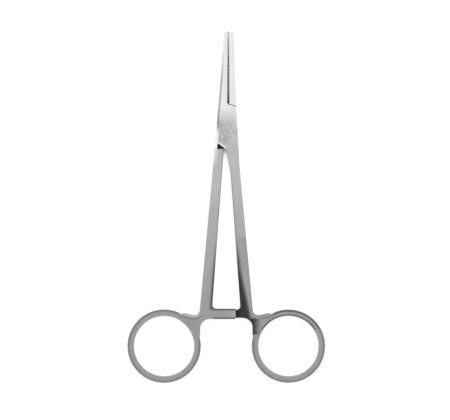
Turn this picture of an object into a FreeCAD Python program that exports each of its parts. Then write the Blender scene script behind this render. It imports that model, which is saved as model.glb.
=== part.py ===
# Hemostat forceps: two crossed halves joined by a box lock. Lengths in millimetres, angles in degrees.
#
# Frame: the origin is on the pivot axis, in the plane of the box's back face. +Y runs from the
# pivot to the jaw tips, -Y to the finger rings, and +Z from the back to the front.
# box_half has the box, the jaw on the -X side and the shank and ring on the +X side.
# through_half passes through the box, so its jaw is on the +X side and its ring on the -X side.

import FreeCAD, Part
import Sketcher
import math
import os

from FreeCAD import Vector

# Driving dimensions: alias, value, meaning
DRIVING = [
    ("box_thickness", "4.4", "box lock, over both cheeks"),
    ("box_top_reach", "11.5", "pivot to where the jaws start to thin towards their tips"),
    ("box_bottom_reach", "22.0", "pivot to where the shanks start to thin towards the rings"),
    ("side_bend_radius", "60.0", "soft bends where the thinning starts and ends"),
    ("box_left_x", "-4.05", "left edge of the box"),
    ("box_left_y", "2.4", "height at which that edge bends towards the jaw"),
    ("box_left_radius", "20.0", "that bend"),
    ("box_right_x", "3.72", "right edge of the cheeks at the shoulder"),
    ("cheek_radius", "8.4", "round upper edge of the cheeks, about the pivot"),
    ("cheek_root_radius", "1.0", "inside corner between that edge and the jaw"),
    ("cheek_corner_x", "-4.0", "lower left corner of the cheeks"),
    ("cheek_corner_y", "-6.8", "lower left corner of the cheeks"),
    ("cheek_corner_radius", "0.6", "lower left corner of the cheeks"),
    ("cheek_heel_offset", "-0.14", "where the cheeks' lower edge meets the shank, from the handle axis"),
    ("cheek_heel_y", "-9.45", "where the cheeks' lower edge meets the shank"),
    ("cheek_heel_radius", "1.0", "where the cheeks' lower edge meets the shank"),
    ("tongue_thickness", "1.6", "thin middle of through_half"),
    ("tongue_hub_radius", "3.95", "round middle of the tongue, about the pivot"),
    ("tongue_corner_x", "-4.5", "outer corner of the tongue, left of the box"),
    ("tongue_corner_y", "-1.3", "outer corner of the tongue, left of the box"),
    ("tongue_corner_radius", "0.8", "outer corner of the tongue, left of the box"),
    ("tongue_foot_rise", "0.2", "where the tongue meets the jaw's face, above the cheeks' round edge"),
    ("tongue_foot_radius", "0.5", "corner between the tongue and the jaw's face"),
    ("sliding_gap", "0.05", "between the tongue and each cheek"),
    ("side_gap", "0.1", "between the tongue and the ends of the slot"),
    ("slot_open_height", "3.1", "above this height the slot is closed on the left"),
    ("shoulder_y", "-9.3", "lower shoulder of through_half"),
    ("shank_head_radius", "0.6", "inner corner of that shoulder"),
    ("pin_radius", "1.5", "rivet, middle"),
    ("pin_head_radius", "1.95", "rivet, flush ends"),
    ("pin_head_depth", "0.5", "rivet, height of each countersink"),
    ("pin_running_gap", "0.05", "radial, in the tongue"),
    ("jaw_reach", "37.6", "pivot to jaw tips"),
    ("jaw_tip_thickness", "2.4", "jaws, at the tips"),
    ("seam_x", "0.52", "plane in which the jaws meet"),
    ("jaw_tip_gap", "0.12", "between the closed jaws at the tips, which meet first"),
    ("jaw_root_gap", "0.6", "between the closed jaws beside the box"),
    ("face_stock", "0.5", "ground off the forging at the gripping faces and the cheeks' round edge"),
    ("jaw_heel_radius", "0.4", "lower corner of through_half's gripping face"),
    ("left_tip_x", "-1.15", "outer side of the left jaw at the tip"),
    ("right_tip_x", "2.8", "outer side of the right jaw at the tip"),
    ("tip_radius", "0.9", "outer corner of each tip"),
    ("serration_pitch", "1.0", "cross grooves in the jaws' faces"),
    ("serration_depth", "0.3", "cross grooves in the jaws' faces"),
    ("serration_width", "0.9", "cross grooves, at the face"),
    ("serration_tip_margin", "1.6", "jaw tip to the first groove"),
    ("serration_root_margin", "1.3", "start of the jaws' thinning to the last groove, at least"),
    ("handle_axis_x", "-0.28", "line midway between the shanks and the rings"),
    ("shank_top_reach", "38.0", "pivot to where the shanks stop thinning"),
    ("shank_thickness", "3.2", "shanks and webs, from there to the rings"),
    ("outer_bend_offset", "5.3", "outer edge of the shanks at their upper bend, from the handle axis"),
    ("outer_bend_y", "-16.0", "upper bend of the shanks' outer edge"),
    ("outer_bend_radius", "60.0", "upper bend of the shanks' outer edge"),
    ("outer_foot_offset", "10.8", "outer edge of the shanks at the ring, from the handle axis"),
    ("inner_head_offset", "1.02", "inner edge of the shanks at the shoulder, from the handle axis"),
    ("inner_foot_offset", "5.8", "inner edge of the shanks at the ratchet, from the handle axis"),
    ("inner_bend_y", "-18.5", "upper bend of the inner edge of box_half's shank"),
    ("inner_bend_radius", "25.0", "upper bend of the inner edge of box_half's shank"),
    ("edge_radius", "0.4", "rounding of all long edges"),
    ("ratchet_reach", "75.0", "pivot to the middle of the ratchet arms"),
    ("upper_arm_width", "4.1", "ratchet arm of through_half"),
    ("lower_arm_width", "3.3", "ratchet arm of box_half"),
    ("arm_overhang", "3.8", "arm ends past the handle axis"),
    ("arm_corner_radius", "0.6", "corners of the arm ends"),
    ("arm_root_radius", "1.4", "inside corner between shank and arm"),
    ("arm_gap", "0.1", "between the two arms, in thickness"),
    ("arm_bevel_radius", "7.0", "rounding where the arm's bevel starts"),
    ("arm_bevel_angle", "18.0", "slope of the bevel down to the arm"),
    ("bevel_rise", "31.0", "upper end of the bevel along the shank, above the ratchet arms"),
    ("bevel_start_offset", "3.9", "outer side of the bevel at that end, from the handle axis"),
    ("bevel_end_offset", "13.3", "outer side of the bevel at the ring's centre height, from the handle axis"),
    ("roll_rise", "29.0", "upper end of through_half's rolled inner edge, above the ratchet arms"),
    ("roll_foot_rise", "8.0", "where that rolled edge is widest, above the ratchet arms"),
    ("roll_end_rise", "2.6", "lower end of the rolled edge, above the ratchet arms"),
    ("roll_width", "1.7", "rolled edge, where it is widest"),
    ("roll_end_extra", "0.3", "rolled edge at both ends, wider than the rounding of the long edges"),
    ("roll_angle", "35.0", "slope of the rolled edge at the shank's inner side"),
    ("tooth_pitch", "1.3", "ratchet teeth"),
    ("tooth_ramp", "1.1", "sloping flank of a ratchet tooth"),
    ("tooth_depth", "0.6", "ratchet teeth"),
    ("tooth_count", "4", "ratchet teeth on each arm"),
    ("tooth_margin", "0.6", "arm end to the first tooth"),
    ("ring_side_offset", "10.2", "side of the rings next to the handle axis, from that axis"),
    ("ring_top_rise", "1.7", "top of the rings, above the middle of the ratchet arms"),
    ("ring_inner_radius", "12.0", "finger holes"),
    ("ring_width", "2.6", "ring section, across"),
    ("ring_thickness", "3.4", "ring section, front to back"),
    ("ring_sides", "12", "flats of the ring's oval section"),
    ("notch_drop", "1.05", "inside corner between shank and ring, below the middle of the ratchet arms"),
    ("notch_radius", "2.2", "inside corner between shank and ring"),
    ("web_crest_height", "0.65", "corner of the web above the ring's outside"),
    ("web_crest_angle", "119.4", "that corner, about the ring's centre, from the outer side"),
    ("web_crest_radius", "4.0", "that corner"),
    ("web_upper_angle", "113.0", "where the web's upper edge ends in the ring"),
    ("web_lower_angle", "185.0", "where the web's lower edge ends in the ring"),
    ("crotch_inset", "0.2", "web's flank below the arm, from the ring's outside"),
    ("crotch_foot_rise", "4.4", "lower end of that flank, above the ring's centre"),
    ("crotch_foot_radius", "10.0", "lower end of that flank"),
    ("crotch_radius", "3.8", "inside corner between ratchet arm and that flank"),
]

doc = FreeCAD.newDocument("hemostat_forceps")
sheet = doc.addObject("Spreadsheet::Sheet", "Sizes")
for row, (alias, value, meaning) in enumerate(DRIVING, start=1):
    sheet.set("A%d" % row, meaning)
    sheet.set("B%d" % row, value)
    sheet.setAlias("B%d" % row, alias)
doc.recompute()


def size(alias):
    return float(getattr(sheet, alias))


# Sizes that follow from the driving ones
MIDDLE_Z = size("box_thickness") / 2
PIVOT = Vector(0, 0, 0)
RING_MIDDLE_RADIUS = size("ring_inner_radius") + size("ring_width") / 2
RING_OUTER_RADIUS = size("ring_inner_radius") + size("ring_width")
RING_OFFSET = size("ring_side_offset") + RING_OUTER_RADIUS
RING_Y = -size("ratchet_reach") + size("ring_top_rise") - RING_OUTER_RADIUS
OUTSIDE = 20.0  # past any surface that a cut has to clear
START_CLEAR = 0.5  # how far outside its surface a blind cut begins
BEVEL_LIFT = 0.02  # the bevel's rounding tops the shank's face by this, so that it cuts in along one line
CHEEK_END_ANGLE = 30.0  # down to here the cuts along the cheeks' round edge are round, from +X


def polar(centre, radius, angle):
    """The point at this distance and angle (degrees, from +X) from the centre."""
    turn = math.radians(angle)
    return Vector(centre.x + radius * math.cos(turn), centre.y + radius * math.sin(turn), 0)


def angle_of(point):
    """The direction of a point as seen from the pivot, in degrees."""
    return math.degrees(math.atan2(point.y, point.x))


def on_line(start, end, y):
    """The point at height y on the line through two points."""
    share = (y - start.y) / (end.y - start.y)
    return Vector(start.x + share * (end.x - start.x), y, 0)


def tangent_angle(point, radius, side):
    """Where a line from the point touches a circle about the pivot, as an angle; side is +1 or -1."""
    return angle_of(point) + side * math.degrees(math.acos(radius / point.Length))


def tangent_pole(first, second, radius):
    """The corner where the tangents at two angles of a circle about the pivot meet."""
    half = math.radians(second - first) / 2
    return polar(PIVOT, radius / math.cos(half), (first + second) / 2)


# Outlines: a list of corners (point, radius), or (point, centre) where an arc about centre leaves it


def outline_edges(corners):
    """Lines and arcs through the corners, each rounded by its radius, as one closed loop."""
    starts = []
    ends = []
    arcs = []
    count = len(corners)
    for index, (point, rounding) in enumerate(corners):
        if isinstance(rounding, Vector) or rounding == 0:
            ends.append(point)
            starts.append(point)
            continue
        back = (corners[index - 1][0] - point).normalize()
        ahead = (corners[(index + 1) % count][0] - point).normalize()
        half = back.getAngle(ahead) / 2
        trim = rounding / math.tan(half)
        bisector = (back + ahead).normalize()
        centre = point + bisector * (rounding / math.sin(half))
        ends.append(point + back * trim)
        starts.append(point + ahead * trim)
        arcs.append(Part.Arc(ends[-1], centre - bisector * rounding, starts[-1]))
    edges = list(arcs)
    for index, (point, rounding) in enumerate(corners):
        start = starts[index]
        end = ends[(index + 1) % count]
        if isinstance(rounding, Vector):
            towards = ((start - rounding) + (end - rounding)).normalize()
            edges.append(Part.Arc(start, rounding + towards * (start - rounding).Length, end))
        else:
            edges.append(Part.LineSegment(start, end))
    return edges


def add_sketch(body, name, role, loops, offset=Vector(0, 0, 0), turn=0.0):
    """A sketch with closed loops of corners on one of the body's origin planes, turned in that plane."""
    sketch = body.newObject("Sketcher::SketchObject", name)
    plane = [feature for feature in body.Origin.OriginFeatures if feature.Role == role][0]
    sketch.AttachmentSupport = (plane, "")
    sketch.MapMode = "FlatFace"
    sketch.AttachmentOffset = FreeCAD.Placement(offset, FreeCAD.Rotation(Vector(0, 0, 1), turn))
    for corners in loops:
        for edge in outline_edges(corners):
            sketch.addGeometry(edge, False)
    return sketch


def add_circle_sketch(body, name, radius_expression):
    """A sketch with one circle about the pivot."""
    sketch = add_sketch(body, name, "XY_Plane", [])
    sketch.addGeometry(Part.Circle(Vector(0, 0, 0), Vector(0, 0, 1), size("pin_radius")), False)
    sketch.addConstraint(Sketcher.Constraint("Coincident", 0, 3, -1, 1))
    sketch.addConstraint(Sketcher.Constraint("Radius", 0, size("pin_radius")))
    sketch.setExpression("Constraints[1]", radius_expression)
    return sketch


def add_cut(body, name, sketch, reversed_cut=False, both_ways=False, depth=None):
    """A Pocket of the sketch: through all, or to a depth given as an expression."""
    pocket = body.newObject("PartDesign::Pocket", name)
    pocket.Profile = sketch
    pocket.Reversed = reversed_cut
    if both_ways:
        pocket.SideType = "Symmetric"
    if depth is None:
        pocket.Type = "ThroughAll"
    else:
        pocket.Type = "Length"
        pocket.setExpression("Length", depth)
    return finish_cut(body, pocket)


def finish_cut(body, feature):
    """Recompute, and stop if the cut took nothing off its base."""
    base = feature.BaseFeature or feature.Originals[0]
    before = base.Shape.Volume
    doc.recompute()
    if not feature.Shape.Volume < before:
        raise RuntimeError(body.Label + ": " + feature.Name + " cuts nothing")
    body.Tip = feature
    return feature


def outline_edge_names(shape):
    """The edges in which an upright wall of the outline meets the front or the back."""
    names = []
    for index, edge in enumerate(shape.Edges, start=1):
        upright = 0
        for face in shape.ancestorsOfType(edge, Part.Face):
            u_min, u_max, v_min, v_max = face.ParameterRange
            normal = face.normalAt((u_min + u_max) / 2, (v_min + v_max) / 2)
            upright += abs(normal.z) < 0.01
        if upright == 1:
            names.append("Edge%d" % index)
    return names


# The lower part of a half: shank, ratchet arm and the web to the ring. side is +1 on the +X side


def handle_point(side, offset, y):
    return Vector(size("handle_axis_x") + side * offset, y, 0)


def inner_edge_point(side, y):
    """A point on the straight inner edge of a shank."""
    head = handle_point(side, size("inner_head_offset"), size("shoulder_y"))
    foot = handle_point(side, size("inner_foot_offset"), -size("ratchet_reach"))
    return on_line(head, foot, y)


def handle_corners(side, arm_width):
    """Corners from the shank's outer bend round the web and the arm to the shank's inner corner."""
    arm_top = -size("ratchet_reach") + arm_width / 2
    arm_bottom = -size("ratchet_reach") - arm_width / 2
    centre = handle_point(side, RING_OFFSET, RING_Y)

    def ring_point(radius, angle):
        point = polar(PIVOT, radius, angle)
        return Vector(centre.x + side * point.x, centre.y + point.y, 0)

    notch_y = -size("ratchet_reach") - size("notch_drop")
    crest_reach = RING_OUTER_RADIUS + size("web_crest_height")
    flank_offset = size("ring_side_offset") + size("crotch_inset")
    flank_foot_y = RING_Y + size("crotch_foot_rise")
    return [
        (handle_point(side, size("outer_bend_offset"), size("outer_bend_y")), size("outer_bend_radius")),
        (handle_point(side, size("outer_foot_offset"), notch_y), size("notch_radius")),
        (ring_point(crest_reach, size("web_crest_angle")), size("web_crest_radius")),
        (ring_point(RING_MIDDLE_RADIUS, size("web_upper_angle")), centre),
        (ring_point(RING_MIDDLE_RADIUS, size("web_lower_angle")), 0),
        (handle_point(side, flank_offset, flank_foot_y), size("crotch_foot_radius")),
        (handle_point(side, flank_offset, arm_bottom), size("crotch_radius")),
        (handle_point(side, -size("arm_overhang"), arm_bottom), size("arm_corner_radius")),
        (handle_point(side, -size("arm_overhang"), arm_top), size("arm_corner_radius")),
        (inner_edge_point(side, arm_top), size("arm_root_radius")),
    ]


def through_half_corners():
    """The outline of through_half as forged: jaw, tongue, shank, web and arm."""
    hub = size("tongue_hub_radius")
    stock = Vector(size("face_stock"), 0, 0)
    inner_tip = face_point(1, size("jaw_reach")) - stock
    outer_tip = Vector(size("right_tip_x"), size("jaw_reach"), 0)
    jaw_foot = tongue_jaw_corner()
    shank_head = inner_edge_point(-1, size("shoulder_y"))
    tongue_corner = Vector(size("tongue_corner_x"), size("tongue_corner_y"), 0)
    right_pole = tangent_pole(tangent_angle(outer_tip, hub, -1), tangent_angle(shank_head, hub, 1), hub)
    left_turn = tangent_angle(tongue_corner, hub, -1) + 360
    left_pole = tangent_pole(tangent_angle(jaw_foot, hub, 1), left_turn, hub)
    corners = [
        (inner_tip, 0),
        (outer_tip, size("tip_radius")),
        (right_pole, hub),
        (shank_head, size("shank_head_radius")),
    ]
    corners += reversed_corners(handle_corners(-1, size("upper_arm_width")))
    corners += [
        (tongue_corner, size("tongue_corner_radius")),
        (left_pole, hub),
        (along_tongue_edge(size("face_stock")), size("tongue_foot_radius")),
    ]
    return corners


def reversed_corners(corners):
    """The same corners in the other order; an arc then leaves from its other end."""
    points = [point for point, rounding in corners][::-1]
    roundings = [rounding for point, rounding in corners][::-1]
    for index, rounding in enumerate(roundings):
        if isinstance(rounding, Vector):
            roundings[index - 1], roundings[index] = rounding, 0
            break
    return list(zip(points, roundings))


def corner_centre(face_x, radius, rounding):
    """The centre of a rounding between an upright face at x and a circle about the pivot."""
    x = face_x + rounding
    return Vector(x, math.sqrt((radius + rounding) ** 2 - x ** 2), 0)


def cheek_root_centre():
    """The centre of the inside corner between the cheeks' round edge and the left jaw."""
    face_x = size("seam_x") - size("jaw_root_gap") / 2
    return corner_centre(face_x, size("cheek_radius"), size("cheek_root_radius"))


def face_point(side, y):
    """A point on a jaw's gripping face; side is +1 for the jaw on the +X side."""
    root = Vector(size("seam_x") + side * size("jaw_root_gap") / 2, cheek_root_centre().y, 0)
    tip = Vector(size("seam_x") + side * size("jaw_tip_gap") / 2, size("jaw_reach"), 0)
    return on_line(root, tip, y)


def tongue_jaw_corner():
    """Where the tongue's upper left edge meets the jaw's gripping face."""
    return face_point(1, size("cheek_radius") + size("tongue_foot_rise"))


def along_tongue_edge(run):
    """The point on the tongue's upper left edge that lies this far left of the jaw's face."""
    corner = tongue_jaw_corner()
    touch = polar(PIVOT, size("tongue_hub_radius"), tangent_angle(corner, size("tongue_hub_radius"), 1))
    return corner + (touch - corner) * (run / (corner.x - touch.x))


def box_half_corners():
    """The outline of box_half as forged: jaw, cheeks, shank, web and arm."""
    stock = size("face_stock")
    top_y = size("cheek_radius") + stock
    bend = handle_point(1, size("outer_bend_offset"), size("outer_bend_y"))
    right_y = math.sqrt(size("cheek_radius") ** 2 - size("box_right_x") ** 2)
    right = Vector(size("box_right_x"), right_y, 0)
    jaw_foot_x = face_point(-1, cheek_root_centre().y).x + stock
    corners = [
        (face_point(-1, size("jaw_reach")) + Vector(stock, 0, 0), 0),
        (Vector(jaw_foot_x, top_y, 0), size("cheek_root_radius")),
        (on_line(bend, right, top_y), 0),
    ]
    corners += handle_corners(1, size("lower_arm_width"))
    corners += [
        (inner_edge_point(1, size("inner_bend_y")), size("inner_bend_radius")),
        (handle_point(1, size("cheek_heel_offset"), size("cheek_heel_y")), size("cheek_heel_radius")),
        (Vector(size("cheek_corner_x"), size("cheek_corner_y"), 0), size("cheek_corner_radius")),
        (Vector(size("box_left_x"), size("box_left_y"), 0), size("box_left_radius")),
        (Vector(size("left_tip_x"), size("jaw_reach"), 0), size("tip_radius")),
    ]
    return corners


def cheek_edge_corners(face_x, rounding, gap):
    """From a jaw's face round its foot and along the cheeks' round edge, widened by the gap."""
    radius = size("cheek_radius") + gap
    centre = corner_centre(face_x, radius, rounding)
    return [
        (Vector(face_x, centre.y, 0), centre),
        (polar(PIVOT, radius, angle_of(centre)), PIVOT),
        (polar(PIVOT, radius, CHEEK_END_ANGLE), 0),
    ]


def box_half_grinding_corners():
    """What is ground off the forging of box_half: its gripping face and the cheeks' round edge."""
    past_tip = size("jaw_reach") + OUTSIDE
    foot = face_point(-1, cheek_root_centre().y)
    corners = cheek_edge_corners(foot.x, size("cheek_root_radius"), 0)
    edge_end = corners[-1][0]
    corners.append((Vector(OUTSIDE, edge_end.y, 0), 0))
    corners.append((Vector(OUTSIDE, past_tip, 0), 0))
    corners.append((face_point(-1, past_tip), 0))
    return corners


def through_half_grinding_corners():
    """What is ground off the forging of through_half: its gripping face, down to the tongue's edge."""
    past_tip = size("jaw_reach") + OUTSIDE
    end = along_tongue_edge(size("face_stock") + 2 * size("tongue_foot_radius"))
    return [
        (face_point(1, past_tip), 0),
        (tongue_jaw_corner(), size("tongue_foot_radius")),
        (end, 0),
        (Vector(-OUTSIDE, end.y, 0), 0),
        (Vector(-OUTSIDE, past_tip, 0), 0),
    ]


def jaw_half_thickness_at(y):
    """Half the jaws' thickness at height y, from where they start to thin."""
    root = Vector(size("box_thickness") / 2, size("box_top_reach"), 0)
    tip = Vector(size("jaw_tip_thickness") / 2, size("jaw_reach"), 0)
    return on_line(root, tip, y).x


def side_loops():
    """What is cut away in front of and behind the halves, as loops in Y and Z."""
    bend = size("side_bend_radius")
    past_tip = size("jaw_reach") + OUTSIDE
    profile = [
        (past_tip, jaw_half_thickness_at(past_tip), 0),
        (size("box_top_reach"), size("box_thickness") / 2, bend),
        (-size("box_bottom_reach"), size("box_thickness") / 2, bend),
        (-size("shank_top_reach"), size("shank_thickness") / 2, bend),
        (RING_Y - OUTSIDE, size("shank_thickness") / 2, 0),
    ]
    loops = []
    for direction in (1, -1):
        corners = [(Vector(y, MIDDLE_Z + direction * half, 0), rounding) for y, half, rounding in profile]
        corners.append((Vector(profile[-1][0], MIDDLE_Z + direction * OUTSIDE, 0), 0))
        corners.append((Vector(profile[0][0], MIDDLE_Z + direction * OUTSIDE, 0), 0))
        loops.append(corners)
    return loops


def add_blank(body, corners):
    """The half as a plate of its outline, thinned along its length, with its edges rounded."""
    pad = body.newObject("PartDesign::Pad", "Blank")
    pad.Profile = add_sketch(body, "Outline", "XY_Plane", [corners])
    pad.setExpression("Length", "Sizes.box_thickness")
    doc.recompute()
    thinned = add_cut(body, "Thinning", add_sketch(body, "SideProfile", "YZ_Plane", side_loops()),
                      both_ways=True)
    rounded = body.newObject("PartDesign::Fillet", "LongEdges")
    rounded.Base = (thinned, outline_edge_names(thinned.Shape))
    rounded.setExpression("Radius", "Sizes.edge_radius")
    doc.recompute()


def add_loft_cut(body, name, sections):
    """Cuts what lies between two sections, given as (height y, corners in X and Z)."""
    sketches = []
    for y, corners in sections:
        sketches.append(add_sketch(body, name + "Section", "XZ_Plane", [corners], Vector(0, 0, -y)))
    loft = body.newObject("PartDesign::SubtractiveLoft", name)
    loft.Profile = sketches[0]
    loft.Sections = sketches[1:]
    loft.Ruled = True
    finish_cut(body, loft)


def bevel_corners(side, facing, outer, radius, angle, floor):
    """A section across a shank: a round from the outer offset inwards, then a slope down to the floor.

    facing is +1 where the front is cut and -1 for the back; the floor is a height above the middle.
    """
    slope = math.radians(angle)
    surface = size("shank_thickness") / 2 + BEVEL_LIFT
    drop = surface - radius * (1 - math.cos(slope))
    run = radius * math.sin(slope)
    slope_run = (drop - floor) / math.tan(slope)

    def place(offset, height):
        return Vector(size("handle_axis_x") + side * offset, MIDDLE_Z + facing * height, 0)

    return [
        (place(outer, OUTSIDE), 0),
        (place(outer, surface), place(outer, surface - radius)),
        (place(outer - run, drop), 0),
        (place(outer - run - slope_run, floor), 0),
        (place(-OUTSIDE, floor), 0),
        (place(-OUTSIDE, OUTSIDE), 0),
    ]


def add_arm_bevel(body, side):
    """Cuts the arm to half its thickness, with a bevel that fades out along the shank.

    box_half, on the +X side, is cut from the front, and through_half from the back.
    """
    sections = []
    for y, outer in (
        (-size("ratchet_reach") + size("bevel_rise"), size("bevel_start_offset")),
        (RING_Y, size("bevel_end_offset")),
    ):
        corners = bevel_corners(
            side, side, outer, size("arm_bevel_radius"), size("arm_bevel_angle"), -size("arm_gap") / 2)
        sections.append((y, corners))
    add_loft_cut(body, "ArmBevel", sections)


def add_rolled_edge(body):
    """Rounds off the front inner edge of through_half's shank, most of all just above the ratchet."""
    angle = size("roll_angle")
    floor = -size("shank_thickness") / 2
    end_width = size("edge_radius") + size("roll_end_extra")
    sections = []
    for rise, width in (
        (size("roll_rise"), end_width),
        (size("roll_foot_rise"), size("roll_width")),
        (size("roll_end_rise"), end_width),
    ):
        y = -size("ratchet_reach") + rise
        outer = size("handle_axis_x") - inner_edge_point(-1, y).x + width
        radius = width / math.sin(math.radians(angle))
        sections.append((y, bevel_corners(-1, 1, outer, radius, angle, floor)))
    add_loft_cut(body, "RolledEdge", sections)


def add_teeth(body, side, width_alias):
    """Saw teeth across the arm, on radii from the pivot; they face the other half's teeth."""
    bed = MIDDLE_Z - side * size("arm_gap") / 2
    end_x = size("handle_axis_x") - side * size("arm_overhang")
    root_x = end_x + side * size("tooth_margin")
    deep = bed - side * size("tooth_depth")
    above = bed + side * size("tooth_depth") / 2
    ramp = size("tooth_ramp")
    corners = [
        (Vector(root_x, above, 0), 0),
        (Vector(root_x, deep, 0), 0),
        (Vector(root_x + side * ramp, bed, 0), 0),
        (Vector(root_x + side * ramp, above, 0), 0),
    ]
    arm_top = -size("ratchet_reach") + size(width_alias) / 2
    sketch = add_sketch(body, "Tooth", "XZ_Plane", [corners], Vector(0, 0, -arm_top - START_CLEAR))
    length = "Sizes.%s + %g" % (width_alias, 2 * START_CLEAR)
    cut = add_cut(body, "ToothCut", sketch, reversed_cut=True, depth=length)
    pattern = body.newObject("PartDesign::PolarPattern", "Teeth")
    pattern.Originals = [cut]
    pattern.Axis = ([axis for axis in body.Origin.OriginFeatures if axis.Role == "Z_Axis"][0], [""])
    pattern.Mode = "Extent"
    steps = size("tooth_count") - 1
    pattern.Angle = math.degrees(steps * size("tooth_pitch") / size("ratchet_reach"))
    pattern.Occurrences = int(size("tooth_count"))
    pattern.Reversed = side < 0
    finish_cut(body, pattern)


def serration_steps():
    """How many pitches fit between the first groove, at the tip, and the last one above the box."""
    margins = size("serration_tip_margin") + size("serration_root_margin")
    return int((size("jaw_reach") - size("box_top_reach") - margins) / size("serration_pitch"))


def add_serrations(body, side):
    """Cross grooves in a jaw's gripping face; side is +1 where the jaw lies on the +X side."""
    depth = size("serration_depth")
    over = size("jaw_tip_gap")
    mouth = size("serration_width") / 2 * (depth + over) / depth
    steps = serration_steps()
    first = face_point(side, size("jaw_reach") - size("serration_tip_margin"))
    last = face_point(side, first.y - steps * size("serration_pitch"))
    corners = [
        (Vector(side * depth, 0, 0), 0),
        (Vector(-side * over, mouth, 0), 0),
        (Vector(-side * over, -mouth, 0), 0),
    ]
    lean = angle_of(first - last) - 90
    groove = add_sketch(body, "Groove", "XY_Plane", [corners], first, lean)
    cut = add_cut(body, "Serration", groove, both_ways=True)
    pattern = body.newObject("PartDesign::LinearPattern", "Serrations")
    pattern.Originals = [cut]
    pattern.Direction = (groove, ["V_Axis"])
    pattern.Mode = "Extent"
    pattern.Reversed = True
    pattern.Length = steps * size("serration_pitch")
    pattern.Occurrences = steps + 1
    finish_cut(body, pattern)


def add_ring(body, side):
    """The finger ring: an oval section with narrow flats, turned about the ring's axis."""
    centre = handle_point(side, RING_OFFSET, RING_Y)
    step = 360 / size("ring_sides")
    corners = []
    for index in range(int(size("ring_sides"))):
        corner = polar(PIVOT, 0.5 / math.cos(math.radians(step / 2)), (index + 0.5) * step)
        x = RING_MIDDLE_RADIUS + corner.x * size("ring_width")
        corners.append((Vector(x, corner.y * size("ring_thickness"), 0), 0))
    section = add_sketch(body, "RingSection", "XZ_Plane", [corners], Vector(centre.x, MIDDLE_Z, -centre.y))
    ring = body.newObject("PartDesign::Revolution", "Ring")
    ring.Profile = section
    ring.ReferenceAxis = (section, ["V_Axis"])
    ring.Angle = 360
    doc.recompute()
    body.Tip = ring


def rivet_corners():
    """Half the rivet's section: a plain middle with a countersunk, flush end on each side."""
    thickness = size("box_thickness")
    depth = size("pin_head_depth")
    profile = [
        (0, 0),
        (size("pin_head_radius"), 0),
        (size("pin_radius"), depth),
        (size("pin_radius"), thickness - depth),
        (size("pin_head_radius"), thickness),
        (0, thickness),
    ]
    return [(Vector(x, z, 0), 0) for x, z in profile]


def slot_corners():
    """The slot through the box, seen from the front: the way of the tongue, and open where it swings out."""
    wall_radius = size("tongue_hub_radius") + size("side_gap")
    upper_turn = tangent_angle(tongue_jaw_corner(), size("tongue_hub_radius"), 1)
    lower_turn = tangent_angle(inner_edge_point(-1, size("shoulder_y")), size("tongue_hub_radius"), 1)
    upper_touch = polar(PIVOT, wall_radius, upper_turn)
    lower_touch = polar(PIVOT, wall_radius, lower_turn)
    upper_end = polar(upper_touch, OUTSIDE, upper_turn - 90)
    lower_end = polar(lower_touch, OUTSIDE, lower_turn - 90)
    opening = on_line(upper_touch, upper_end, size("slot_open_height"))
    face_foot = face_point(-1, cheek_root_centre().y)
    rise = (face_foot.x - upper_touch.x) / (upper_end.x - upper_touch.x)
    jaw_end = upper_touch + (upper_end - upper_touch) * rise
    return [
        (face_foot, 0),
        (jaw_end, 0),
        (opening, 0),
        (Vector(-OUTSIDE, opening.y, 0), 0),
        (Vector(-OUTSIDE, lower_end.y, 0), 0),
        (lower_end, 0),
        (lower_touch, 0),
        (Vector(OUTSIDE, lower_touch.y, 0), 0),
        (Vector(OUTSIDE, face_foot.y, 0), 0),
    ]


def cheek_space_corners():
    """What through_half leaves free for the cheeks, seen from the front: down to the lower shoulder."""
    face_x = face_point(1, size("cheek_radius")).x
    corners = cheek_edge_corners(face_x, size("jaw_heel_radius"), size("side_gap"))
    right_x = corners[-1][0].x
    corners.append((Vector(right_x, size("shoulder_y"), 0), 0))
    corners.append((Vector(-right_x, size("shoulder_y"), 0), 0))
    corners.append((Vector(-right_x, corners[0][0].y, 0), 0))
    return corners


def new_body(label):
    body = doc.addObject("PartDesign::Body", label)
    body.Label = label
    return body


def make_box_half():
    body = new_body("box_half")
    add_blank(body, box_half_corners())
    grinding = add_sketch(body, "GrindingOutline", "XY_Plane", [box_half_grinding_corners()])
    add_cut(body, "Grinding", grinding, both_ways=True)
    slot = add_sketch(body, "SlotOutline", "XY_Plane", [slot_corners()], Vector(0, 0, MIDDLE_Z))
    add_cut(body, "Slot", slot, both_ways=True, depth="Sizes.tongue_thickness + 2 * Sizes.sliding_gap")
    seat = body.newObject("PartDesign::Groove", "RivetSeat")
    seat.Profile = add_sketch(body, "RivetSeatSection", "XZ_Plane", [rivet_corners()])
    seat.ReferenceAxis = (seat.Profile[0], ["V_Axis"])
    seat.Angle = 360
    finish_cut(body, seat)
    add_arm_bevel(body, 1)
    add_teeth(body, 1, "lower_arm_width")
    add_serrations(body, -1)
    add_ring(body, 1)
    return body


def make_through_half():
    body = new_body("through_half")
    add_blank(body, through_half_corners())
    grinding = add_sketch(body, "GrindingOutline", "XY_Plane", [through_half_grinding_corners()])
    add_cut(body, "Grinding", grinding, both_ways=True)
    for direction in (1, -1):
        height = MIDDLE_Z + direction * size("tongue_thickness") / 2
        space = add_sketch(body, "CheekSpace", "XY_Plane", [cheek_space_corners()], Vector(0, 0, height))
        add_cut(body, "CheekCut", space, reversed_cut=direction > 0)
    bore = add_circle_sketch(body, "PinBore", "Sizes.pin_radius + Sizes.pin_running_gap")
    add_cut(body, "Bore", bore, both_ways=True)
    add_arm_bevel(body, -1)
    add_teeth(body, -1, "upper_arm_width")
    add_rolled_edge(body)
    add_serrations(body, 1)
    add_ring(body, -1)
    return body


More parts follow.
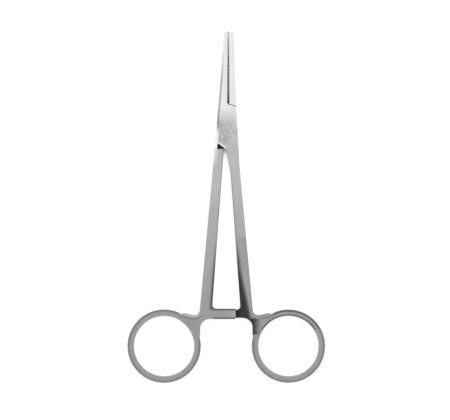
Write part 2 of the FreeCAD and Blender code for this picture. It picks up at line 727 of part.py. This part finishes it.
def make_pivot_pin():
    body = new_body("pivot_pin")
    rivet = body.newObject("PartDesign::Revolution", "Rivet")
    rivet.Profile = add_sketch(body, "RivetSection", "XZ_Plane", [rivet_corners()])
    rivet.ReferenceAxis = (rivet.Profile[0], ["V_Axis"])
    rivet.Angle = 360
    doc.recompute()
    return body


pieces = [make_box_half(), make_through_half(), make_pivot_pin()]
doc.recompute()

for item in doc.Objects:
    if "Invalid" in item.State or "Error" in item.State:
        raise RuntimeError(item.Name + " failed: " + str(item.State))
for piece in pieces:
    if piece.Shape.isNull() or not piece.Shape.isValid() or len(piece.Shape.Solids) != 1:
        raise RuntimeError(piece.Label + " isn't one valid solid")

os.makedirs("parts", exist_ok=True)
for piece in pieces:
    piece.Shape.exportStep("parts/" + piece.Label + ".step")
    print(piece.Label, "volume", round(piece.Shape.Volume, 3), "box", piece.Shape.BoundBox)
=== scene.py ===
# Hemostat forceps on a plain pale floor, seen from straight above. Metres, in the frame of the solids:
# the pivot axis is Z, +Y runs to the jaw tips and +X to the right. Places in the metal are in millimetres.
import math

import bpy
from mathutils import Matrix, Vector


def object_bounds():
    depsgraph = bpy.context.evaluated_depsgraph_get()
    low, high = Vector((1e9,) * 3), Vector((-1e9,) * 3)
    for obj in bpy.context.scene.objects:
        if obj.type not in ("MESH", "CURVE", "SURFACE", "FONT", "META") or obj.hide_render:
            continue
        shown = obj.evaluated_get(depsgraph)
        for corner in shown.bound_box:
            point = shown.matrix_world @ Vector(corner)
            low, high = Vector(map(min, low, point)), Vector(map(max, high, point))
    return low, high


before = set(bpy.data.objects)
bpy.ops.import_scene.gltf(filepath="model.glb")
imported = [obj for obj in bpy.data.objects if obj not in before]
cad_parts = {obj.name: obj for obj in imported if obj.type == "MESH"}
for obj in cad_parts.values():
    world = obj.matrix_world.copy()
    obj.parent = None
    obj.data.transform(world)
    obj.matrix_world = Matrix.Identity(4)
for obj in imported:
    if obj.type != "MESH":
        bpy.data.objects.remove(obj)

cad_low, cad_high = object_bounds()

MM_PER_M = 1000.0

# Photograph: 0.4 mm a pixel at the object, which shows the pivot at this pixel
PIXEL = 0.0004
IMAGE_WIDTH_PX = 450
IMAGE_HEIGHT_PX = 420
PIVOT_X_PX = 227
PIVOT_Y_PX = 126

# Sizes and places of the solids, in millimetres like all that follows unless it says metres
MIDDLE_Z = MM_PER_M * (cad_low.z + cad_high.z) / 2
SHANK_THICKNESS = 3.2
SHANK_FRONT_Z = MIDDLE_Z + SHANK_THICKNESS / 2
TONGUE_THICKNESS = 1.6
HANDLE_AXIS_X = -0.28
RING_OFFSET = 24.8
RING_Y = -87.9
SEAM_X = 0.52
CHEEK_GAP_RADIUS = 8.45

# A straight edge is a pair: its place at y 0, and how far it moves for each millimetre of y
# Inner edge of a shank, from the handle axis
SHANK_INNER_EDGE = (0.3434, -0.07275)
# Left edge of through_half below the box
THROUGH_LEFT_EDGE = (-4.40, 0.0735)
# Faces of the jaws, from the seam
HALF_SEAM_GAP = (0.3755, -0.0084)
# Left edge of box_half, upright below this height and leaning above it, with a pair that counts from there
JAW_START_Y = 2.4
JAW_LEFT_EDGE = (-4.05, 0.0824)
# Upper edge of a web: its y on the handle axis, and its rise for each millimetre away from it
WEB_TOP_EDGE = (-78.46, 0.223)
# Slanted lower edge of the cheek: its distance from the pivot, and the direction square to it, from +X
CHEEK_EDGE_DISTANCE = 7.85
CHEEK_EDGE_TURN = math.radians(53.5)

# Below, a ramp is a list of pairs (where, grey) or (where, share of the grey)
# A zone is (from, to, length of the fade at both ends)

# The steel's grey along the length, at height y: lighter towards the jaws and the box and darker towards the
# rings, partly the finish and partly painted light and shade
LENGTH_TONES_AND_LIGHT = [(-80, 0.335), (-36, 0.43), (-24, 0.49), (0, 0.49), (7, 0.80), (37.6, 0.83)]
LENGTH_ROUGHNESS = [(-80, 0.42), (-8, 0.28), (8, 0.2)]
# Blasted grain, lines along the length and wide clouds: waves a millimetre along x, y and z, and detail
GRAIN = ((9, 9, 9), 3.0)
LINES = ((5, 0.25, 5), 2.0)
CLOUDS = ((0.5, 0.12, 0.5), 2.0)
# How much each changes the grey, the roughness and the relief
GRAIN_IN_TONE = 0.25
LINES_IN_TONE = 0.30
CLOUDS_IN_TONE = 0.12
LINES_IN_ROUGHNESS = 0.25
LINES_IN_RELIEF = 0.5
# The relief, and the radius to which edges look rounded; lengths in metres
RELIEF_STRENGTH = 0.12
RELIEF_DEPTH = 0.00002
SOFT_EDGE = 0.00018
SOFT_EDGE_SAMPLES = 4
# How much a face counts as front, by its normal's Z
FRONT = [(0.5, 0), (0.8, 1)]

# Painted shade in dark strips along the shanks' inner edges, by the distance from the edge as a share of
# their width
SHADE_STRIP_SHARES = [(0, 0), (0.3, 0.08), (0.9, 0.8), (1.3, 1)]
# For each half, at height y: the painted shade strip's width, and how strong it is
BOX_HALF_SHADE_STRIP = (
    [(-54, 1.9), (-45, 1.0), (-38, 0.6)],
    [(-64, 0), (-60, 0.8), (-54, 0.8), (-45, 0.3), (-20, 0.3), (-17, 0)],
)
THROUGH_HALF_SHADE_STRIP = (
    [(-61, 1.4), (-38, 0.6)],
    [(-74, 0), (-72.5, 0.8), (-58, 0.8), (-45, 0.3), (-10, 0.3), (-9, 0)],
)

# Rings, by the distance from their centre: painted shade on the outer edges and painted light on the hole
# side, where they are clear of the web: this far out or this low
RING_LIGHT_AND_SHADE = [(12, 1.10), (13.3, 1), (13.8, 0.82), (14.5, 0.42)]
RING_CLEAR_OUT = [(18.5, 0), (20, 1)]
RING_CLEAR_LOW = [(-86, 1), (-84, 0)]
# Upper edge of the webs, round beside the shank and straight beyond, by the depth below it: a painted
# highlight along the rim with a line of painted shade below it
NOTCH_HIGHLIGHT_AND_SHADE = [(0, 1.4), (0.7, 1.4), (1.3, 0.64), (2.3, 1)]
NOTCH_OFFSET = 12.9
NOTCH_Y = -73.4
NOTCH_RADIUS = 2.2
NOTCH_ENDS = [(12.2, 0), (12.7, 1)]
NOTCH_ZONE = (11, 18, 2)
NOTCH_BELOW = [(-75.6, 1), (-74.2, 0)]

# Painted shade in black lines along the gripping faces, by the distance from the face, above this height
SEAM_SHADE_SHARES = [(0.11, 0.03), (0.2, 1)]
SEAM_STARTS = [(8.6, 0), (8.9, 1)]
# Painted shade in a fine dark line along the cheeks' round edge, by the distance from it, right of this x
# and above this height
CHEEK_SHADE_SHARES = [(0.1, 0.35), (0.25, 1)]
CHEEK_RIGHT = [(0.6, 0), (0.9, 1)]
CHEEK_ABOVE = [(6, 0), (6.5, 1)]

# The mottled box: its noise, how much that changes the grey, and the gain for each millimetre of x, which is
# painted light brightening it towards the right
BOX_ZONE = (-5.5, 0.5, 3)
MOTTLE = ((0.55, 0.4, 0.55), 3.0)
MOTTLE_IN_TONE = 0.9
BOX_LIGHT_LEAN = 0.03
# Painted shade in a dark line along the left edge of the jaw, by the distance from the edge
JAW_EDGE_SHADE_SHARES = [(0, 1), (0.45, 0.5), (0.7, 0.55), (1.1, 1)]
JAW_EDGE_ALONG = [(-2, 0), (1, 1), (18, 1), (31, 0)]
# Painted highlights on the bright left edge of the box, and on the bright slanted lower edge of the cheek
BOX_EDGE_HIGHLIGHT = 0.92
BOX_EDGE_ZONE = (-7.5, -3, 1.5)
BOX_EDGE_FADE = [(0.3, 1), (0.8, 0)]
CHEEK_EDGE_HIGHLIGHT = 0.85
CHEEK_EDGE_ZONE = (-9.6, -6, 0.6)
CHEEK_EDGE_FADE = [(0.4, 1), (0.9, 0)]
CHEEK_EDGE_LEFT = [(-0.8, 1), (0.2, 0)]
# Painted shade on the bevel and arm of box_half, by the depth below the shank's front
BEVEL_SHADE_TONES = [(0, 0.35), (0.05, 0.2), (0.18, 0.085), (0.34, 0.045)]
BEVEL_ZONE = (-81, -45, 3)
# The same painted shade below the arm, by the distance from the handle axis
WEB_SHADE_TONES = [(10.6, 0.05), (11.6, 0.1), (14.2, 0.37)]
WEB_ZONE = (-83, -77, 2)

# Painted highlight on the bright outer edge of through_half below the box, by the distance from the edge
SHOULDER_HIGHLIGHT_TONES = [(0, 0.85), (0.4, 0.68), (0.9, 0.67), (1.8, 0.47)]
SHOULDER_ZONE = (-12.5, -7, 4)
SHOULDER_ENDS = [(2.6, 1), (3.2, 0)]
# The upper arm: painted light rising along x, and painted shade on its edges by the distance from a line
# just above its middle
ARM_LINE_Y = -74.87
ARM_LIGHT = [(-9, 0.95), (-4, 1), (0, 1), (3, 1.18)]
ARM_EDGE_SHADE_SHARES = [(1.1, 1), (2.0, 0.3)]
ARM_ZONE_X = (-4.8, 5, 1.2)
ARM_ZONE_Y = (-77.2, -72.8, 0.5)
# The tongue, told from the rest by its distance from the middle plane and by its height
TONGUE_THIN = [(TONGUE_THICKNESS / 2 + 0.02, 1), (TONGUE_THICKNESS / 2 + 0.1, 0)]
TONGUE_ZONE = (-9.28, 8.4, 0.02)
# Painted shade: black at both ends, and less dark in the middle, where it lies between the cheeks
TONGUE_SHADE_TONES = [(-6.6, 0.02), (-4.5, 0.2), (5.5, 0.2), (6.5, 0.02)]
# Painted highlight along its left edge
TONGUE_EDGE_HIGHLIGHT = 0.95
TONGUE_EDGE_FADE = [(0.95, 0), (1.2, 1)]

# Floor, in metres: its own grey, and what it adds where it is seen, so that it shows as white
FLOOR_REACH = 2.0
FLOOR_DROP = 0.00001
FLOOR_GREY = 0.3
FLOOR_GLOW = 0.78
# Shade beside the object, by how open the floor is there
COVER_REACH = 0.0024
COVER_SAMPLES = 16
OPEN_SHARES = [(0.18, 0), (0.32, 1)]

# World: level of the light by the height that it comes from, and level where it is seen
SKY_LEVELS = [(0, 0.70), (0.3, 0.82), (0.6, 0.93), (0.85, 1), (1, 1)]
SKY_SEEN = 1.0

# Lamp and camera, in metres, with the lamp's power in watts
LAMP_PLACE = (0.15, 0.35, 0.8)
LAMP_TARGET = (0, -0.03, 0)
LAMP_SIZE = 0.7
LAMP_POWER = 4.0

CAMERA_HEIGHT = 0.9
CAMERA_CLIP = 0.01
SENSOR_MM = 36.0

WHITE = (1, 1, 1, 1)


class Graph:
    """A material's or the world's node tree, emptied, with short ways to add nodes and do sums."""

    def __init__(self, owner):
        owner.use_nodes = True
        self.tree = owner.node_tree
        self.tree.nodes.clear()

    def put(self, socket, value):
        if isinstance(value, bpy.types.NodeSocket):
            self.tree.links.new(value, socket)
        else:
            socket.default_value = value

    def add(self, kind, inputs=(), **settings):
        """A node with its settings, and its inputs as pairs (name, value or socket)."""
        node = self.tree.nodes.new(kind)
        for name, value in settings.items():
            setattr(node, name, value)
        for name, value in inputs:
            self.put(node.inputs[name], value)
        return node

    def calc(self, operation, *values):
        node = self.add("ShaderNodeMath", operation=operation)
        for socket, value in zip(node.inputs, values):
            self.put(socket, value)
        return node.outputs["Value"]

    def product(self, *values):
        result = values[0]
        for value in values[1:]:
            result = self.calc("MULTIPLY", result, value)
        return result

    def ramp(self, value, stops):
        """A grey level that follows the stops (value, level)."""
        low = stops[0][0]
        high = stops[-1][0]
        share = self.add("ShaderNodeMapRange", [("Value", value), ("From Min", low), ("From Max", high)])
        node = self.add("ShaderNodeValToRGB", [("Fac", share.outputs["Result"])])
        elements = node.color_ramp.elements
        elements.remove(elements[-1])
        for index, (position, level) in enumerate(stops):
            place = (position - low) / (high - low)
            element = elements[0] if index == 0 else elements.new(place)
            element.position = place
            element.color = (level, level, level, 1)
        return node.outputs["Color"]

    def blend(self, share, first, second):
        """First where the share is 0, second where it is 1."""
        node = self.add("ShaderNodeMix", data_type="FLOAT")
        self.put(node.inputs[0], share)
        self.put(node.inputs[2], first)
        self.put(node.inputs[3], second)
        return node.outputs[0]

    def between(self, value, zone):
        """1 in the zone (from, to, fade), and 0 outside it."""
        low, high, fade = zone
        return self.ramp(value, [(low - fade, 0), (low, 1), (high, 1), (high + fade, 0)])

    def edge(self, value, pair):
        """Where a straight edge lies, from its place at 0 and its slope."""
        start, slope = pair
        return self.calc("MULTIPLY_ADD", value, slope, start)

    def apart(self, first, second):
        """How far two values are from each other."""
        return self.calc("ABSOLUTE", self.calc("SUBTRACT", first, second))

    def distance(self, x, y, centre_x, centre_y):
        """How far x and y are from a centre."""
        across = self.calc("SUBTRACT", x, centre_x)
        along = self.calc("SUBTRACT", y, centre_y)
        squares = self.calc("MULTIPLY_ADD", along, along, self.calc("MULTIPLY", across, across))
        return self.calc("SQRT", squares)

    def noise(self, vector, pattern):
        """Noise about 0, with a number of waves a millimetre along each axis, and a detail."""
        waves, detail = pattern
        stretch = self.add("ShaderNodeMapping", [("Vector", vector), ("Scale", waves)])
        node = self.add("ShaderNodeTexNoise",
                        [("Vector", stretch.outputs["Vector"]), ("Scale", 1.0), ("Detail", detail)])
        return self.calc("SUBTRACT", node.outputs["Fac"], 0.5)

    def seen(self):
        """1 for what the camera, a reflection or a clear material sees, and 0 for light."""
        rays = self.add("ShaderNodeLightPath")
        level = self.calc("MAXIMUM", rays.outputs["Is Camera Ray"], rays.outputs["Is Glossy Ray"])
        return self.calc("MAXIMUM", level, rays.outputs["Is Transmission Ray"])


class Place:
    """Where a point of the metal lies, in millimetres, and which way it faces."""

    def __init__(self, graph):
        coordinates = graph.add("ShaderNodeTexCoord")
        scaled = graph.add("ShaderNodeVectorMath", [("Scale", MM_PER_M)], operation="SCALE")
        graph.put(scaled.inputs[0], coordinates.outputs["Object"])
        self.point = scaled.outputs["Vector"]
        axes = graph.add("ShaderNodeSeparateXYZ", [("Vector", self.point)])
        self.x = axes.outputs["X"]
        self.y = axes.outputs["Y"]
        self.z = axes.outputs["Z"]
        normal = graph.add("ShaderNodeSeparateXYZ", [("Vector", coordinates.outputs["Normal"])])
        self.front = graph.ramp(normal.outputs["Z"], FRONT)

    def offset(self, graph, side):
        """How far out the point lies from the handle axis, on one side of it."""
        return graph.calc("MULTIPLY_ADD", self.x, side, -side * HANDLE_AXIS_X)


def inner_shade_strip(graph, place, side, strip):
    """Share of the grey for the painted shade beside the inner edge of a shank; side is +1 for box_half."""
    widths, strengths = strip
    distance = graph.calc("SUBTRACT", place.offset(graph, side), graph.edge(place.y, SHANK_INNER_EDGE))
    share = graph.ramp(graph.calc("DIVIDE", distance, graph.ramp(place.y, widths)), SHADE_STRIP_SHARES)
    return graph.blend(graph.ramp(place.y, strengths), 1.0, share)


def ring_and_web(graph, place, side):
    """Share of the grey for the painted shade at the ring's edges, and for the painted highlight with
    painted shade below it at the rim where the web meets the shank.
    """
    offset = place.offset(graph, side)
    edges = graph.ramp(graph.distance(offset, place.y, RING_OFFSET, RING_Y), RING_LIGHT_AND_SHADE)
    clear = graph.calc("MAXIMUM", graph.ramp(offset, RING_CLEAR_OUT), graph.ramp(place.y, RING_CLEAR_LOW))
    ring = graph.blend(clear, 1.0, edges)

    below = graph.calc("SUBTRACT", graph.edge(offset, WEB_TOP_EDGE), place.y)
    around = graph.calc("SUBTRACT", graph.distance(offset, place.y, NOTCH_OFFSET, NOTCH_Y), NOTCH_RADIUS)
    depth = graph.blend(graph.ramp(offset, NOTCH_ENDS), around, below)
    near = graph.product(graph.between(offset, NOTCH_ZONE), graph.ramp(place.y, NOTCH_BELOW))
    rim = graph.blend(near, 1.0, graph.ramp(depth, NOTCH_HIGHLIGHT_AND_SHADE))
    return graph.product(ring, graph.blend(place.front, 1.0, rim))


def seam_shade(graph, place):
    """Share of the grey for the painted shade beside the seam between the jaws, and beside the cheeks' round
    edge below it.
    """
    from_face = graph.calc("SUBTRACT", graph.apart(place.x, SEAM_X), graph.edge(place.y, HALF_SEAM_GAP))
    seam = graph.blend(graph.ramp(place.y, SEAM_STARTS), 1.0, graph.ramp(from_face, SEAM_SHADE_SHARES))
    radius = graph.distance(place.x, place.y, 0.0, 0.0)
    cheek = graph.ramp(graph.apart(radius, CHEEK_GAP_RADIUS), CHEEK_SHADE_SHARES)
    corner = graph.product(graph.ramp(place.x, CHEEK_RIGHT), graph.ramp(place.y, CHEEK_ABOVE))
    return graph.product(seam, graph.blend(corner, 1.0, cheek))


def box_shade(graph, place, tone):
    """The mottled box, lighter to the right by painted light, with painted shade in a dark line and painted
    highlights on the bright edges of its left side.
    """
    # Painted light: the box brightens towards the right
    lean = graph.product(place.x, BOX_LIGHT_LEAN)
    change = graph.calc("ADD", graph.product(graph.noise(place.point, MOTTLE), MOTTLE_IN_TONE), lean)
    mottled = graph.calc("ADD", 1.0, graph.product(change, graph.between(place.y, BOX_ZONE)))
    tone = graph.product(tone, mottled)

    # Painted shade along the left edge of the jaw, and painted highlights on the left edge of the box
    above = graph.calc("MAXIMUM", graph.calc("SUBTRACT", place.y, JAW_START_Y), 0.0)
    from_left = graph.calc("SUBTRACT", place.x, graph.edge(above, JAW_LEFT_EDGE))
    along = graph.ramp(place.y, JAW_EDGE_ALONG)
    tone = graph.product(tone, graph.blend(along, 1.0, graph.ramp(from_left, JAW_EDGE_SHADE_SHARES)))
    box_edge = graph.product(graph.between(place.y, BOX_EDGE_ZONE), graph.ramp(from_left, BOX_EDGE_FADE))
    tone = graph.blend(box_edge, tone, BOX_EDGE_HIGHLIGHT)

    # Painted highlight on the slanted lower edge of the cheek
    from_cheek = graph.calc("MULTIPLY_ADD", place.x, math.cos(CHEEK_EDGE_TURN), CHEEK_EDGE_DISTANCE)
    from_cheek = graph.calc("MULTIPLY_ADD", place.y, math.sin(CHEEK_EDGE_TURN), from_cheek)
    cheek = graph.product(graph.ramp(from_cheek, CHEEK_EDGE_FADE), graph.between(place.y, CHEEK_EDGE_ZONE),
                          graph.ramp(place.x, CHEEK_EDGE_LEFT))
    return graph.blend(cheek, tone, CHEEK_EDGE_HIGHLIGHT)


def box_half_tone(graph, place, tone):
    """The box with its edges, and painted shade on the bevel, the arm and the web below."""
    # The box's painted light and shade, the painted shade beside the shank's inner edge, and the painted
    # light and shade of the ring and the web's rim
    tone = graph.product(box_shade(graph, place, tone), inner_shade_strip(graph, place, 1, BOX_HALF_SHADE_STRIP),
                         ring_and_web(graph, place, 1))
    # Painted shade on the bevel, the arm and the web, darker deeper below the shank's front
    depth = graph.calc("SUBTRACT", SHANK_FRONT_Z, place.z)
    bevel = graph.blend(graph.between(place.y, BEVEL_ZONE), 1.0, graph.ramp(depth, BEVEL_SHADE_TONES))
    web_shade = graph.ramp(place.offset(graph, 1), WEB_SHADE_TONES)
    web = graph.blend(graph.between(place.y, WEB_ZONE), 1.0, web_shade)
    dark = graph.blend(place.front, 1.0, graph.calc("MINIMUM", bevel, web))
    return graph.calc("MINIMUM", tone, dark)


def through_half_tone(graph, place, tone):
    """The tongue inside the box in black painted shade, the painted highlight on the outer edge below it,
    and the arm with painted light along it and painted shade at its edges.
    """
    from_left = graph.calc("SUBTRACT", place.x, graph.edge(place.y, THROUGH_LEFT_EDGE))
    # Painted highlight on the outer edge below the box
    shoulder = graph.product(graph.between(place.y, SHOULDER_ZONE), graph.ramp(from_left, SHOULDER_ENDS))
    tone = graph.blend(shoulder, tone, graph.ramp(from_left, SHOULDER_HIGHLIGHT_TONES))
    # Painted shade beside the inner edge, and painted light and shade at the ring and the web's rim
    tone = graph.product(tone, inner_shade_strip(graph, place, -1, THROUGH_HALF_SHADE_STRIP),
                         ring_and_web(graph, place, -1))

    # Painted light along the arm, and painted shade at its edges
    edges = graph.ramp(graph.apart(place.y, ARM_LINE_Y), ARM_EDGE_SHADE_SHARES)
    arm_share = graph.product(graph.ramp(place.x, ARM_LIGHT), edges)
    arm = graph.product(graph.between(place.x, ARM_ZONE_X), graph.between(place.y, ARM_ZONE_Y))
    tone = graph.product(tone, graph.blend(arm, 1.0, arm_share))

    # Painted shade on the tongue, black at both ends, with a painted highlight along its left edge
    thin = graph.ramp(graph.apart(place.z, MIDDLE_Z), TONGUE_THIN)
    tongue_shade = graph.ramp(place.y, TONGUE_SHADE_TONES)
    tongue = graph.blend(graph.ramp(from_left, TONGUE_EDGE_FADE), TONGUE_EDGE_HIGHLIGHT, tongue_shade)
    return graph.blend(graph.product(thin, graph.between(place.y, TONGUE_ZONE)), tone, tongue)


def steel_material(name, tone_change=None):
    """Stainless steel: polished at the jaws and the box, satin along the shanks, blasted at the rings, with
    painted light and shade in its grey.
    """
    material = bpy.data.materials.new(name)
    graph = Graph(material)
    place = Place(graph)

    # Grey along the length, with painted light brightening the jaws and the box
    tone = graph.ramp(place.y, LENGTH_TONES_AND_LIGHT)
    # Painted light and shade of each half, and painted shade beside the seam
    if tone_change:
        tone = graph.product(tone_change(graph, place, tone), seam_shade(graph, place))

    grain = graph.noise(place.point, GRAIN)
    lines = graph.noise(place.point, LINES)
    clouds = graph.noise(place.point, CLOUDS)
    change = graph.calc("ADD", graph.product(grain, GRAIN_IN_TONE), graph.product(lines, LINES_IN_TONE))
    change = graph.calc("ADD", change, graph.product(clouds, CLOUDS_IN_TONE))
    tone = graph.product(tone, graph.calc("ADD", change, 1.0))
    roughness = graph.ramp(place.y, LENGTH_ROUGHNESS)
    roughness = graph.calc("ADD", roughness, graph.product(lines, LINES_IN_ROUGHNESS))

    soft = graph.add("ShaderNodeBevel", [("Radius", SOFT_EDGE)], samples=SOFT_EDGE_SAMPLES)
    relief = graph.calc("ADD", grain, graph.product(lines, LINES_IN_RELIEF))
    bump = graph.add("ShaderNodeBump", [
        ("Strength", RELIEF_STRENGTH), ("Distance", RELIEF_DEPTH), ("Height", relief),
        ("Normal", soft.outputs["Normal"]),
    ])
    colour = graph.add("ShaderNodeCombineColor", [("Red", tone), ("Green", tone), ("Blue", tone)])
    shader = graph.add("ShaderNodeBsdfPrincipled", [
        ("Base Color", colour.outputs["Color"]), ("Metallic", 1.0), ("Roughness", roughness),
        ("Normal", bump.outputs["Normal"]),
    ])
    graph.add("ShaderNodeOutputMaterial", [("Surface", shader.outputs["BSDF"])])
    return material


def dress_nodes():
    """Gives every solid its steel in place of its plain material."""
    changes = {"box_half": box_half_tone, "through_half": through_half_tone}
    for name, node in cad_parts.items():
        node.data.materials.clear()
        node.data.materials.append(steel_material(name + "_steel", changes.get(name)))


def floor_material():
    """Pale floor: white where the camera or a reflection sees it, less where the object covers it."""
    material = bpy.data.materials.new("pale_floor")
    graph = Graph(material)
    cover = graph.add("ShaderNodeAmbientOcclusion", [("Distance", COVER_REACH)], samples=COVER_SAMPLES)
    open_share = graph.ramp(cover.outputs["AO"], OPEN_SHARES)
    glow_level = graph.product(open_share, graph.seen(), FLOOR_GLOW)
    glow = graph.add("ShaderNodeEmission", [("Color", WHITE), ("Strength", glow_level)])
    diffuse = graph.add("ShaderNodeBsdfDiffuse", [("Color", (FLOOR_GREY, FLOOR_GREY, FLOOR_GREY, 1))])
    both = graph.add("ShaderNodeAddShader")
    graph.put(both.inputs[0], diffuse.outputs["BSDF"])
    graph.put(both.inputs[1], glow.outputs["Emission"])
    graph.add("ShaderNodeOutputMaterial", [("Surface", both.outputs["Shader"])])
    return material


def add_floor():
    corners = [(-1, -1), (1, -1), (1, 1), (-1, 1)]
    mesh = bpy.data.meshes.new("floor")
    mesh.from_pydata([(x * FLOOR_REACH, y * FLOOR_REACH, 0) for x, y in corners], [], [(0, 1, 2, 3)])
    mesh.materials.append(floor_material())
    floor = bpy.data.objects.new("floor", mesh)
    floor.location = (0, 0, cad_low.z - FLOOR_DROP)
    bpy.context.scene.collection.objects.link(floor)


def add_world():
    """White where it is seen; as light it is white overhead and greyer towards the horizon."""
    world = bpy.data.worlds.new("studio")
    bpy.context.scene.world = world
    graph = Graph(world)
    direction = graph.add("ShaderNodeSeparateXYZ")
    graph.put(direction.inputs[0], graph.add("ShaderNodeTexCoord").outputs["Generated"])
    light = graph.ramp(direction.outputs["Z"], SKY_LEVELS)
    level = graph.blend(graph.seen(), light, SKY_SEEN)
    back = graph.add("ShaderNodeBackground", [("Color", WHITE), ("Strength", level)])
    graph.add("ShaderNodeOutputWorld", [("Surface", back.outputs["Background"])])


def add_lamp():
    """A soft lamp that lights the floor and casts the shadow; the metal reflects the white above."""
    lamp = bpy.data.lights.new("key", "AREA")
    lamp.shape = "DISK"
    lamp.size = LAMP_SIZE
    lamp.energy = LAMP_POWER
    holder = bpy.data.objects.new("key", lamp)
    holder.location = LAMP_PLACE
    holder.rotation_euler = (Vector(LAMP_TARGET) - Vector(LAMP_PLACE)).to_track_quat("-Z", "Y").to_euler()
    holder.visible_glossy = False
    bpy.context.scene.collection.objects.link(holder)


def add_camera():
    """Straight above the middle of the image, so that the object lies as in the photograph."""
    data = bpy.data.cameras.new("camera")
    data.sensor_fit = "HORIZONTAL"
    data.sensor_width = SENSOR_MM
    data.lens = SENSOR_MM * CAMERA_HEIGHT / (PIXEL * IMAGE_WIDTH_PX)
    data.clip_start = CAMERA_CLIP
    camera = bpy.data.objects.new("camera", data)
    right_px = IMAGE_WIDTH_PX / 2 - PIVOT_X_PX
    down_px = IMAGE_HEIGHT_PX / 2 - PIVOT_Y_PX
    camera.location = (right_px * PIXEL, -down_px * PIXEL, CAMERA_HEIGHT)
    bpy.context.scene.collection.objects.link(camera)
    bpy.context.scene.camera = camera


dress_nodes()
add_floor()
add_world()
add_lamp()
add_camera()
bpy.context.scene.view_settings.view_transform = "Standard"
